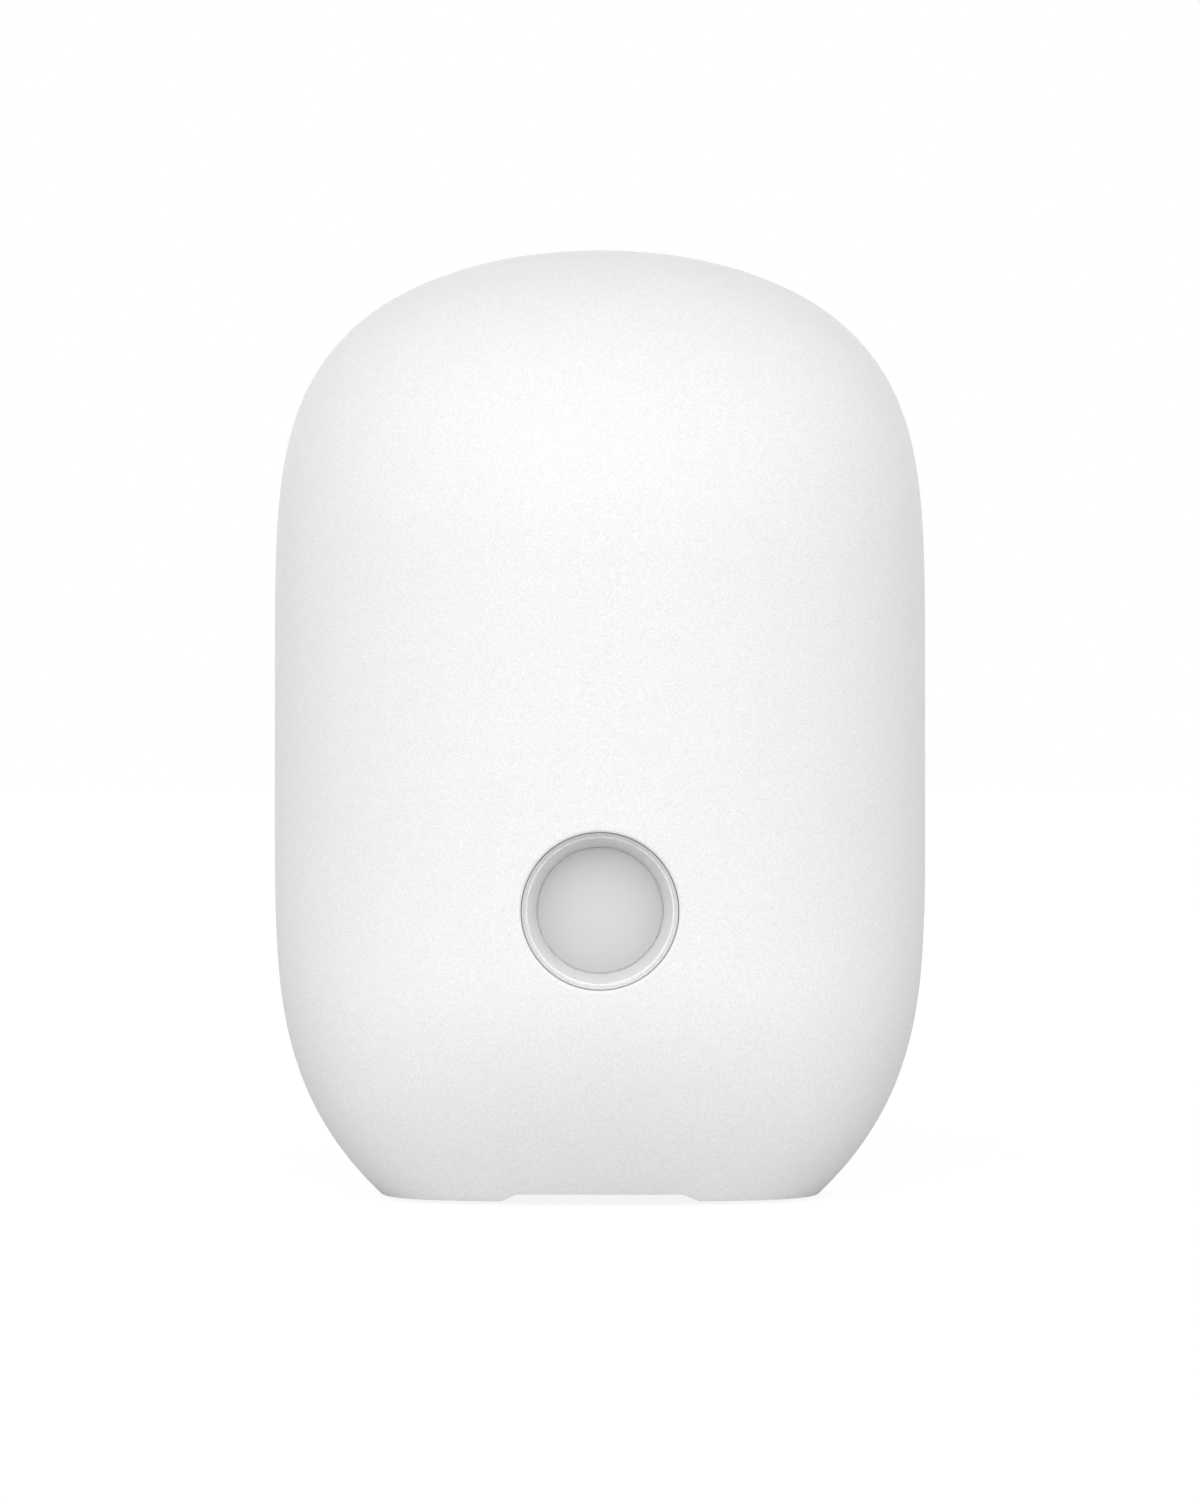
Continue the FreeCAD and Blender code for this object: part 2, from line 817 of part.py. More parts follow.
def foot_pad(side, sign):
    raw = box(
        "foot_pad_%s_raw" % side, middle(sign + "foot_offset", "foot_width"),
        both_ways("foot_depth / 2"), ("0", "base_low"))
    return keep(rounded("foot_pad_" + side, raw, "foot_corner", along("z")))


# ---------------------------------------------------------------- recess, button and its switch


def bezel_ring():
    """The ring that lines the recess: a steep ledge, a narrow bead, a conical wall that ends
    in a thin lip, a bore for the lens flange and a flange that holds the ring in the housing."""
    return keep(turned("bezel_ring", [
        ("bezel_throat_radius", "bezel_throat_face"),
        ("bezel_edge_radius", "bezel_edge_face"),
        ("bezel_bead_radius", "bezel_edge_face"),
        ("bezel_radius", "bezel_rim_face"),
        ("bezel_radius", "bezel_flange_face"),
        ("bezel_flange_radius", "bezel_flange_face"),
        ("bezel_flange_radius", "bezel_flange_back"),
        ("bezel_radius", "bezel_flange_back"),
        ("bezel_radius", "bezel_back"),
        ("bezel_bore_radius", "bezel_back"),
        ("bezel_bore_radius", "bezel_lip_back"),
        ("bezel_throat_radius", "bezel_lip_back"),
    ], "button_height"))


def button_pieces():
    keep(turned("button_lens", [
        ("0", "lens_face"),
        ("lens_radius - lens_round", "lens_face"),
        ("lens_radius", "lens_face + lens_round"),
        ("lens_radius", "lens_flange_face"),
        ("lens_flange_radius", "lens_flange_face"),
        ("lens_flange_radius", "carrier_face"),
        ("0", "carrier_face"),
    ], "button_height"))
    keep(turned("button_carrier", [
        ("0", "carrier_face"),
        ("carrier_radius", "carrier_face"),
        ("carrier_radius", "carrier_back"),
        ("carrier_stem_radius", "carrier_back"),
        ("carrier_stem_radius", "plunger_face"),
        ("0", "plunger_face"),
    ], "button_height"))
    keep(turned("button_plunger", [
        ("0", "plunger_face"),
        ("plunger_radius", "plunger_face"),
        ("plunger_radius", "plunger_root"),
        ("0", "plunger_root"),
    ], "button_height"))
    keep(turned("light_guide", [
        ("guide_inner_radius", "guide_face"),
        ("guide_outer_radius", "guide_face"),
        ("guide_outer_radius", "guide_back"),
        ("guide_inner_radius", "guide_back"),
    ], "button_height"))


def button_switch():
    body = box(
        "button_switch_body", both_ways("switch_width / 2"), ("switch_face", "button_board_face"),
        middle("button_height", "switch_width"))
    bore = rod(
        "button_switch_bore", "plunger_radius + plunger_clearance", "0",
        ("switch_face - overcut", "plunger_root + plunger_room"), "button_height")
    return keep(cut("button_switch", body, [bore]))


def status_leds():
    lights = []
    for index in range(LED_COUNT):
        angle = 2 * math.pi * (index + 0.5) / LED_COUNT
        x = "led_ring_radius * %.4f" % math.cos(angle)
        z = "button_height + led_ring_radius * %.4f" % math.sin(angle)
        lights.append(box(
            "status_led_%d" % (index + 1), middle(x, "led_width"),
            ("button_board_face - led_height", "button_board_face"), middle(z, "led_width")))
    return keep(group("status_leds", lights))


def button_board():
    return keep(box(
        "button_board", both_ways("button_board_width / 2"), ("button_board_face", "button_board_back"),
        middle("button_height", "button_board_tall")))


def button_bracket():
    plate = box(
        "bracket_plate", both_ways("bracket_width / 2"), ("button_board_back", "bracket_back"),
        ("bracket_low", "bracket_high"))
    holes = [
        rod("bracket_hole_%d" % index, "screw_pilot_radius", x, ("-depth / 2", "0"), z)
        for index, (x, z) in enumerate(BRACKET_SCREWS, start=1)
    ]
    blank = rounded("bracket_rounded", plate, "bracket_corner", along("y"))
    return keep(cut("button_bracket", blank, holes))


# ---------------------------------------------------------------- ribbon cable


def ribbon():
    """A flat lead with one easy bend from the button board to the main board."""
    start = number("button_board_back + ribbon_plug_depth")
    end = number("board_face - ribbon_plug_depth")
    level = number("ribbon_level")
    half = number("ribbon_thickness / 2")
    sag = number("ribbon_sag")
    middle_line = []
    for step in range(RIBBON_STEPS + 1):
        share = step / RIBBON_STEPS
        drop = sag * math.sin(math.pi * share) ** 2
        middle_line.append(FreeCAD.Vector(0, start + (end - start) * share, level - drop))
    path = Part.BSplineCurve()
    path.interpolate(Points=middle_line, InitialTangent=FreeCAD.Vector(0, 1, 0),
                     FinalTangent=FreeCAD.Vector(0, 1, 0))
    upper = path.toShape().translated(FreeCAD.Vector(0, 0, half))
    lower = path.toShape().translated(FreeCAD.Vector(0, 0, -half))
    face = Part.makeRuledSurface(lower, upper)
    width = number("ribbon_width")
    solid = face.extrude(FreeCAD.Vector(width, 0, 0))
    solid.translate(FreeCAD.Vector(-width / 2, 0, 0))
    keep(fixed_shape("ribbon_cable", solid))
    level_span = middle("ribbon_level", "ribbon_plug_tall")
    across = both_ways("ribbon_plug_width / 2")
    keep(group("ribbon_connectors", [
        box("ribbon_plug_front", across, ("button_board_back", "button_board_back + ribbon_plug_depth"),
            level_span),
        box("ribbon_plug_back", across, ("board_face - ribbon_plug_depth", "board_face"), level_span),
    ]))


# ---------------------------------------------------------------- main board and what it carries


def main_board():
    plate = box("board_plate", both_ways("board_width / 2"), ("board_face", "board_back"),
                ("board_low", "board_high"))
    corners = rounded("board_rounded", plate, "board_corner", along("y"))
    through = ("board_face - overcut", "board_back + overcut")
    holes = [
        rod("board_hole_%d" % index, "screw_pilot_radius", x, through, z)
        for index, (x, z) in enumerate(BOARD_SCREWS + HEATSINK_SCREWS, start=1)
    ]
    return keep(cut("main_board", corners, holes))


def front_chips():
    top = ("board_face - chip_height", "board_face")
    keep(box("processor", both_ways("processor_width / 2"), top, middle("processor_at", "processor_width")))
    keep(group("memory_chips", [
        box("memory_chip" + str(index), middle(side + "memory_offset", "memory_width"), top,
            middle("processor_at", "memory_tall"))
        for index, side in enumerate(SIDES, start=1)
    ]))
    keep(box("flash_chip", both_ways("flash_width / 2"), top, middle("flash_at", "flash_tall")))
    for side, sign in (("left", "-"), ("right", "")):
        centre = sign + "shield_offset"
        can = box("shield_can_" + side, middle(centre, "shield_width"), top,
                  middle("shield_at", "shield_tall"))
        hollow = box(
            "shield_hollow_" + side, middle(centre, "shield_width - 2 * shield_skin"),
            ("board_face - chip_height + shield_skin", "board_face + overcut"),
            middle("shield_at", "shield_tall - 2 * shield_skin"))
        keep(cut("radio_shield_" + side, can, [hollow]))


def heat_path():
    """Thermal pads, the finned heatsink in front and the flat spreader behind."""
    pad = ("board_face - chip_height - pad_thickness", "board_face - chip_height")
    seats = [
        ("0", "processor_width", "processor_at", "processor_width"),
        ("-shield_offset", "shield_width - 2 * pad_margin", "shield_at", "shield_tall - 2 * pad_margin"),
        ("shield_offset", "shield_width - 2 * pad_margin", "shield_at", "shield_tall - 2 * pad_margin"),
    ]
    pads = [
        box("thermal_pad_%d" % index, middle(x, wide), pad, middle(z, tall))
        for index, (x, wide, z, tall) in enumerate(seats, start=1)
    ]
    pads.append(box(
        "thermal_pad_back", both_ways("processor_width / 2"), ("board_back", "spreader_face"),
        middle("processor_at", "processor_width")))
    keep(group("thermal_pads", pads))
    face = pad[0]
    base_face = "(%s) - heatsink_base" % face
    plate = box("heatsink_plate", both_ways("heatsink_width / 2"), (base_face, face),
                ("heatsink_low", "heatsink_high"))
    fins = []
    for index in range(FIN_COUNT):
        x = "fin_pitch * %g" % (index - (FIN_COUNT - 1) / 2)
        tip = "(%s) - fin_length" % base_face
        fins.append(box("fin_%d" % (index + 1), middle(x, "fin_thickness"), (tip, base_face),
                        ("heatsink_low", "heatsink_high")))
    legs = [
        rod("heatsink_leg_%d" % index, "heatsink_leg_radius", x, (face, "board_face"), z)
        for index, (x, z) in enumerate(HEATSINK_SCREWS, start=1)
    ]
    bore_length = ("(%s) - overcut" % base_face, "board_face + overcut")
    bores = [
        rod("heatsink_bore_%d" % index, "screw_pilot_radius", x, bore_length, z)
        for index, (x, z) in enumerate(HEATSINK_SCREWS, start=1)
    ]
    keep(cut("heatsink", fuse("heatsink_blank", [plate] + fins + legs), bores))
    keep(rounded("rear_heat_spreader", box(
        "spreader_raw", both_ways("spreader_width / 2"), ("spreader_face", "spreader_back"),
        ("spreader_low", "spreader_high")), "spreader_corner", along("y")))


def rear_parts():
    """Chips, magnetics and power parts on the back of the board."""
    keep(group("magnetics", [
        box("magnetics_" + side, middle("socket_" + side, "magnetics_width"),
            ("board_back", "board_back + magnetics_height"), middle("magnetics_at", "magnetics_tall"))
        for side in ("left", "right")
    ]))
    keep(box("ethernet_chip", middle("socket_left / 2", "bridge_width"),
             ("board_back", "board_back + chip_height"), middle("bridge_at", "bridge_width")))
    keep(box("power_chip", middle("power_chip_at", "power_chip_width"),
             ("board_back", "board_back + chip_height"), middle("power_chip_level", "power_chip_width")))
    keep(group("power_inductors", [
        box("inductor_%d" % index, middle("inductor_at", "inductor_width"),
            ("board_back", "board_back + inductor_height"),
            middle("inductor_level + inductor_pitch * %d" % (index - 1), "inductor_width"))
        for index in (1, 2)
    ]))
    keep(group("power_capacitors", [
        rod("capacitor_%d" % index, "capacitor_radius", "capacitor_at",
            ("board_back", "board_back + capacitor_height"),
            "capacitor_level + capacitor_pitch * %d" % (index - 1))
        for index in (1, 2)
    ]))


# ---------------------------------------------------------------- sockets, inlet and reset


def ethernet_socket(side):
    """A shielded socket standing on the board with its mouth in the port panel."""
    centre = "socket_" + side
    depth = ("board_back", "panel_face")
    can = box("jack_can_" + side, middle(centre, "socket_width"), depth, middle("socket_at", "socket_tall"))
    inside = box(
        "jack_can_inside_" + side, middle(centre, "socket_width - 2 * socket_skin"),
        ("board_back - overcut", "panel_face + overcut"),
        middle("socket_at", "socket_tall - 2 * socket_skin"))
    keep(cut("jack_shield_" + side, can, [inside]))
    block = box(
        "jack_block_" + side, middle(centre, "socket_width - 2 * socket_skin - socket_gap"),
        ("board_back", "panel_face - socket_gap"),
        middle("socket_at", "socket_tall - 2 * socket_skin - socket_gap"))
    depth = ("socket_mouth_floor", "panel_face + overcut")
    mouth_high = "socket_mouth_low + socket_mouth_tall"
    mouth = box("jack_mouth_" + side, middle(centre, "socket_mouth_width"), depth,
                ("socket_mouth_low", mouth_high))
    latch = box("jack_latch_" + side, middle(centre, "latch_width"), depth,
                ("socket_mouth_low - latch_tall", "socket_mouth_low + overcut"))
    keep(cut("jack_insert_" + side, block, [mouth, latch]))
    wires = []
    for index in range(CONTACT_COUNT):
        x = "%s + contact_pitch * %g" % (centre, index - (CONTACT_COUNT - 1) / 2)
        wire = box("contact_%s_%d" % (side, index + 1), middle(x, "contact_width"),
                   ("socket_mouth_floor + socket_gap", "socket_mouth_floor + contact_length"),
                   (mouth_high + " - contact_thickness - contact_drop", mouth_high + " - contact_drop"))
        wire.Placement.Rotation = FreeCAD.Rotation(FreeCAD.Vector(1, 0, 0), number("contact_slope"))
        wires.append(wire)
    keep(group("jack_contacts_" + side, wires))


def power_inlet():
    depth = ("board_back", "panel_face - socket_gap")
    raw = box("inlet_raw", middle("inlet_at", "inlet_width"), depth, middle("inlet_level", "inlet_tall"))
    outside = rounded("inlet_outside", raw, "inlet_corner", along("y"))
    raw = box(
        "inlet_hollow_raw", middle("inlet_at", "inlet_width - 2 * inlet_skin"),
        ("inlet_floor", "panel_face + overcut"), middle("inlet_level", "inlet_tall - 2 * inlet_skin"))
    inside = rounded("inlet_inside", raw, "inlet_corner - inlet_skin", along("y"))
    keep(cut("power_inlet_shell", outside, [inside]))
    keep(box(
        "power_inlet_tongue", middle("inlet_at", "tongue_width"),
        ("inlet_floor", "panel_face - tongue_inset"), middle("inlet_level", "tongue_thickness")))


def reset_pieces():
    """A small push button through the port panel, and the switch on the board behind it."""
    profile = [
        ("0", "reset_stem_end"),
        ("reset_stem_radius", "reset_stem_end"),
        ("reset_stem_radius", "reset_flange_back"),
        ("reset_flange_radius", "reset_flange_back"),
        ("reset_flange_radius", "reset_flange_face"),
        ("reset_radius", "reset_flange_face"),
        ("reset_radius", "reset_face"),
        ("0", "reset_face"),
    ]
    button = turned("reset_button", profile, "reset_level")
    button.setExpression("Placement.Base.x", bound("inlet_at"))
    keep(button)
    keep(rod("reset_plunger", "reset_stem_radius", "inlet_at", ("reset_plunger_root", "reset_stem_end"),
             "reset_level"))
    block = box("reset_switch_block", middle("inlet_at", "switch_width"), ("board_back", "reset_switch_top"),
                middle("reset_level", "switch_width"))
    bore = rod("reset_switch_bore", "reset_stem_radius + plunger_clearance", "inlet_at",
               ("reset_bore_floor", "reset_switch_top + overcut"), "reset_level")
    keep(cut("reset_switch", block, [bore]))


# ---------------------------------------------------------------- antennas and coaxial leads


def mirrored_span(sign, near, far):
    """Ends, in rising order, of a stretch from near to far on one side."""
    return (near, far) if sign == "" else ("-(%s)" % far, "-(%s)" % near)


def side_antenna(side, sign):
    """An upright antenna board on a holder that is tabbed to the edge of the main board."""
    keep(box(
        "antenna_" + side, mirrored_span(sign, "antenna_side", "antenna_side + antenna_thickness"),
        both_ways("antenna_side_width / 2"), ("antenna_side_low", "antenna_side_high")))
    plate = box(
        "holder_plate_" + side, mirrored_span(sign, "antenna_side - holder_thickness", "antenna_side"),
        both_ways("antenna_side_width / 2 + holder_margin"),
        ("holder_low", "antenna_side_high + holder_margin"))
    reach = mirrored_span(sign, "board_width / 2 - holder_lap", "antenna_side - holder_thickness / 2")
    tabs = [
        box("holder_tab_%s_%d" % (side, index), reach, ("board_back", "board_back + holder_thickness"),
            (level, level + " + holder_tab"))
        for index, level in enumerate(("holder_tab_low", "holder_tab_high"), start=1)
    ]
    keep(fuse("antenna_holder_" + side, [plate] + tabs))


def top_antennas():
    """Two flat antennas side by side on one holder that stands on the top edge of the board."""
    level = ("antenna_top_level", "antenna_top_level + antenna_thickness")
    deep = ("antenna_top_front", "antenna_top_back")
    for side, sign in (("left", "-"), ("right", "")):
        across = mirrored_span(sign, "antenna_top_inner", "antenna_top_outer")
        keep(box("antenna_top_" + side, across, deep, level))
    plate = box(
        "holder_plate_top", both_ways("antenna_top_outer + overcut"),
        ("antenna_top_front - overcut", "holder_top_back"),
        ("antenna_top_level - holder_thickness", "antenna_top_level"))
    legs = [
        box("holder_leg_top_" + side, mirrored_span(sign, "holder_leg_inner", "holder_leg_outer"),
            ("board_back", "board_back + holder_thickness"),
            ("board_high - holder_leg_lap", "antenna_top_level"))
        for side, sign in (("left", "-"), ("right", ""))
    ]
    webs = [
        box("holder_web_top_" + side, mirrored_span(sign, "holder_leg_inner", "holder_leg_outer"),
            ("holder_top_back - overcut", "board_back + holder_thickness"),
            ("antenna_top_level - holder_thickness", "antenna_top_level"))
        for side, sign in (("left", "-"), ("right", ""))
    ]
    keep(fuse("antenna_holder_top", [plate] + legs + webs))


def coax_lead(name, spots):
    """A thin round lead through a few places."""
    path = Part.BSplineCurve()
    path.interpolate([FreeCAD.Vector(*spot) for spot in spots])
    wire = Part.Wire(path.toShape())
    start = path.value(path.FirstParameter)
    ring = Part.Wire(Part.Edge(Part.Circle(start, path.tangent(path.FirstParameter)[0],
                                           number("coax_radius"))))
    keep(fixed_shape(name, wire.makePipeShell([ring], True, True)))


def coax_set():
    back = number("board_back + coax_plug_height / 2")
    arch = back + number("coax_arch")
    landing = number("antenna_side - coax_land")
    turn = number("antenna_side - coax_turn")
    side_x = number("coax_side_offset + coax_plug_radius + coax_exit")
    side_z = number("coax_side_level")
    low = number("antenna_side_low + holder_margin")
    top_x = number("coax_top_offset")
    top_z = number("coax_top_level + coax_plug_radius + coax_exit")
    for side, sign in (("left", -1), ("right", 1)):
        coax_lead("coax_" + side, [
            (sign * side_x, back, side_z),
            (sign * (side_x + number("coax_swing")), arch, side_z - number("coax_drop")),
            (sign * turn, arch, low + number("coax_turn")),
            (sign * landing, back - number("coax_dip"), low),
        ])
        coax_lead("coax_top_" + side, [
            (sign * top_x, back, top_z),
            (sign * (top_x - number("coax_top_swing")), arch, top_z + number("coax_top_rise")),
            (sign * (top_x - number("coax_top_reach")), arch,
             number("antenna_top_level - coax_top_gap")),
        ])
    height = ("board_back", "board_back + coax_plug_height")
    plugs = []
    for index, sign in enumerate(SIDES, start=1):
        plugs.append(rod("coax_plug_%d" % index, "coax_plug_radius", sign + "coax_side_offset", height,
                         "coax_side_level"))
        plugs.append(rod("coax_plug_top_%d" % index, "coax_plug_radius", sign + "coax_top_offset", height,
                         "coax_top_level"))
    keep(group("coax_connectors", plugs))


# ---------------------------------------------------------------- build

front_housing()
rear_housing()
port_panel()
base_plate()
foot_pad("left", "-")
foot_pad("right", "")
bezel_ring()
button_pieces()
button_switch()
status_leds()
button_board()
button_bracket()
ribbon()
main_board()
front_chips()
heat_path()
rear_parts()
for name in ("left", "right"):
    ethernet_socket(name)
power_inlet()
reset_pieces()
side_antenna("left", "-")
side_antenna("right", "")
top_antennas()
coax_set()
screw("base_screws", "z", BASE_SCREWS, "base_low + screw_head_height", 1)
screw("board_screws", "y", BOARD_SCREWS, "board_face", 1)
screw("heatsink_screws", "y", HEATSINK_SCREWS, "board_back", -1)
screw("bracket_screws", "y", BRACKET_SCREWS, "bracket_back", -1)
doc.recompute()

# ---------------------------------------------------------------- check and write

for item in doc.Objects:
    if "Invalid" in item.State or "Error" in item.State:
        raise RuntimeError("%s did not recompute: %s" % (item.Name, item.State))
for item in made:
    shape = item.Shape
    if shape.isNull() or not shape.isValid() or not shape.Solids:
        raise RuntimeError("%s has no valid solid" % item.Name)

os.makedirs("parts", exist_ok=True)
for item in made:
    item.Shape.exportStep("parts/%s.step" % item.Label)
print(len(made), "sub-parts")
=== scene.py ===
import json
import math

import bpy
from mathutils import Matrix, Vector


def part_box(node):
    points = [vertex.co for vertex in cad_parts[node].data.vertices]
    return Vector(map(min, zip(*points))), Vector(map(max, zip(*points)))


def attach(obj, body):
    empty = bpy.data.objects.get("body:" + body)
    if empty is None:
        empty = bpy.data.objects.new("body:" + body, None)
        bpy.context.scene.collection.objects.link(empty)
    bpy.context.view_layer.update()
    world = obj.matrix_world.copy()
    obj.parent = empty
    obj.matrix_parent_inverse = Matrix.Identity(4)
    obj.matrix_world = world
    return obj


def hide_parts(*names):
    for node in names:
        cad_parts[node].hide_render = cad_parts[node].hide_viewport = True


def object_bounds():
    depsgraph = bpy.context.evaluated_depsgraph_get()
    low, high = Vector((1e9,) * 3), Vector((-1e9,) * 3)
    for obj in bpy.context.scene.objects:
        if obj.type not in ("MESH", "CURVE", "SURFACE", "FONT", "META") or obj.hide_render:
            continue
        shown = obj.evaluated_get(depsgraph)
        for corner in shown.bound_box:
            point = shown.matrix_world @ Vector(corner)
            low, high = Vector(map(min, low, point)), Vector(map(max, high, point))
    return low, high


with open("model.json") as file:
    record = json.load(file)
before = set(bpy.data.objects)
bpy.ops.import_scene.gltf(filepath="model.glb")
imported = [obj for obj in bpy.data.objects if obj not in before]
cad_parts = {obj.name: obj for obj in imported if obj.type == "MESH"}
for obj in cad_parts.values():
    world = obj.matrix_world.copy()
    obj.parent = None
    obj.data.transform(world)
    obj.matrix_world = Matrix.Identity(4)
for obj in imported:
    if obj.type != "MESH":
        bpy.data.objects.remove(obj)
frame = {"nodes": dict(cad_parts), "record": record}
cad_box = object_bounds()

MM = 0.001
NODES = frame["nodes"]
SLOT_OF = {entry["node"]: entry["material_slot"] for entry in frame["record"]["subparts"]}

lens_low, lens_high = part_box("button_lens")
BUTTON_HEIGHT = (lens_low[2] + lens_high[2]) / 2
# where the ring and the button face change colour, for their painted shade and painted light:
# distances from the button's axis, and how far the change takes, in millimetres
LEDGE_RADIUS, THROAT_RADIUS, LENS_RADIUS, EDGE_BLEND = 9.66, 8.5, 8.39, 0.03

# sockets of a colour mix node, which has others of the same names for numbers and vectors
A_COLOUR, B_COLOUR, COLOUR_RESULT = 6, 7, 2
# most of a noise lies between these two values
NOISE_LOW, NOISE_HIGH = 0.3, 0.7
# moulded plastic drifts in tone and in gloss: over how many millimetres, and by how much
TONE_DRIFT, TONE_LOSS = 9, 0.015
GLOSS_DRIFT, GLOSS_SPREAD = 5, 0.07
# under its grain is a slow waviness, this many times coarser
WAVE_RATIO = 30
# drawn metal is tarnished in patches this many millimetres across, and darker there by this much
TARNISH_DRIFT, TARNISH = 3, 0.14
# width and depth of its lines in millimetres, and the shares of its roughness that they go between
LINE_WIDTH, LINE_DEPTH = 0.4, 0.006
LINE_SMOOTH, LINE_ROUGH = 0.75, 1.3
# painted light: the gap around the button is painted bright, for light that leaves the button's
# side
GAP_PAINTED_LIGHT = (0.95, 0.95, 0.95)

# ---------------------------------------------------------------- material helpers


def grey(level):
    return (level, level, level)


def shade(colour, factor):
    return tuple(min(1.0, part * factor) for part in colour)


def math_node(tree, kind, operation, values):
    """A math node whose inputs, in order, are linked to a socket or set to a plain value."""
    node = tree.nodes.new(kind)
    node.operation = operation
    for socket, value in zip(node.inputs, values):
        if isinstance(value, bpy.types.NodeSocket):
            tree.links.new(value, socket)
        else:
            socket.default_value = value
    return node


def vector_math(tree, operation, *values):
    node = math_node(tree, "ShaderNodeVectorMath", operation, values)
    return node.outputs["Value" if operation in ("LENGTH", "DOT_PRODUCT") else "Vector"]


def number_math(tree, operation, *values):
    return math_node(tree, "ShaderNodeMath", operation, values).outputs["Value"]


class Finish:
    """A node material with a Principled shader and a few ways to vary it.
    Its sizes, depths and distances are in millimetres."""

    def __init__(self, name, colour, roughness, **values):
        self.material = bpy.data.materials.new(name)
        self.material.use_nodes = True
        self.tree = self.material.node_tree
        self.shader = self.tree.nodes["Principled BSDF"]
        self.colour = colour
        self.shader.inputs["Base Color"].default_value = (*colour, 1)
        self.shader.inputs["Roughness"].default_value = roughness
        for socket, value in values.items():
            self.shader.inputs[socket.replace("_", " ")].default_value = value
        self.place = self.tree.nodes.new("ShaderNodeTexCoord").outputs["Object"]
        self.normal = None

    def link(self, source, target):
        self.tree.links.new(source, target)

    def noise(self, size, detail=3, stretch=(1, 1, 1)):
        """Noise whose features are about size across."""
        node = self.tree.nodes.new("ShaderNodeTexNoise")
        node.inputs["Scale"].default_value = 1 / (size * MM)
        node.inputs["Detail"].default_value = detail
        place = self.place
        if stretch != (1, 1, 1):
            mapping = self.tree.nodes.new("ShaderNodeMapping")
            mapping.inputs["Scale"].default_value = stretch
            self.link(place, mapping.inputs["Vector"])
            place = mapping.outputs["Vector"]
        self.link(place, node.inputs["Vector"])
        return node.outputs["Fac"]

    def ranged(self, source, low, high):
        """A value that follows the middle of a noise from low to high."""
        node = self.tree.nodes.new("ShaderNodeMapRange")
        node.inputs["From Min"].default_value = NOISE_LOW
        node.inputs["From Max"].default_value = NOISE_HIGH
        node.inputs["To Min"].default_value = low
        node.inputs["To Max"].default_value = high
        self.link(source, node.inputs["Value"])
        return node.outputs["Result"]

    def from_axis(self, near, far):
        """A value from 0 to 1 as the distance from the button's axis goes from near to far."""
        offset = vector_math(self.tree, "SUBTRACT", self.place, (0, 0, BUTTON_HEIGHT))
        across = vector_math(self.tree, "MULTIPLY", offset, (1, 0, 1))
        away = vector_math(self.tree, "LENGTH", across)
        share = self.tree.nodes.new("ShaderNodeMapRange")
        share.inputs["From Min"].default_value = near * MM
        share.inputs["From Max"].default_value = far * MM
        self.link(away, share.inputs["Value"])
        return share.outputs["Result"]

    def mixed(self, share, first, second):
        """From one number to another value, by a share."""
        mix = self.tree.nodes.new("ShaderNodeMix")
        mix.inputs["A"].default_value = first
        self.link(share, mix.inputs["Factor"])
        self.link(second, mix.inputs["B"])
        return mix.outputs["Result"]

    def tint(self, share, other):
        """Mix the colour so far with another one, by a share."""
        socket = self.shader.inputs["Base Color"]
        node = self.tree.nodes.new("ShaderNodeMix")
        node.data_type = "RGBA"
        if socket.is_linked:
            self.link(socket.links[0].from_socket, node.inputs[A_COLOUR])
        else:
            node.inputs[A_COLOUR].default_value = (*self.colour, 1)
        node.inputs[B_COLOUR].default_value = (*other, 1)
        self.link(share, node.inputs["Factor"])
        self.link(node.outputs[COLOUR_RESULT], socket)

    def vary_colour(self, source, other):
        """The colour drifts towards another one where the source is high."""
        self.tint(self.ranged(source, 0, 1), other)

    def vary_roughness(self, source, low, high):
        self.link(self.ranged(source, low, high), self.shader.inputs["Roughness"])

    def bump(self, source, depth):
        """Relief of a given depth, on top of any relief already there."""
        node = self.tree.nodes.new("ShaderNodeBump")
        node.inputs["Distance"].default_value = depth * MM
        self.link(source, node.inputs["Height"])
        if self.normal is not None:
            self.link(self.normal, node.inputs["Normal"])
        self.normal = node.outputs["Normal"]
        self.link(self.normal, self.shader.inputs["Normal"])
        return self


def grained_plastic(name, colour, roughness, grain, depth, painted_pit_shade=0.0):
    """Moulded plastic with a spark-eroded grain and slight unevenness in tone and gloss.
    Painted shade darkens the pits of the grain by the share that the last argument gives."""
    finish = Finish(name, colour, roughness)
    fine = finish.noise(grain, detail=2)
    finish.vary_colour(finish.noise(TONE_DRIFT, detail=4), shade(colour, 1 - TONE_LOSS))
    # painted shade: the pits of the fine grain are painted darker
    if painted_pit_shade > 0:
        finish.vary_colour(fine, shade(colour, 1 - painted_pit_shade))
    low_gloss, high_gloss = roughness * (1 - GLOSS_SPREAD), roughness * (1 + GLOSS_SPREAD)
    finish.vary_roughness(finish.noise(GLOSS_DRIFT), low_gloss, high_gloss)
    finish.bump(fine, depth)
    return finish.bump(finish.noise(grain * WAVE_RATIO, detail=2), depth)


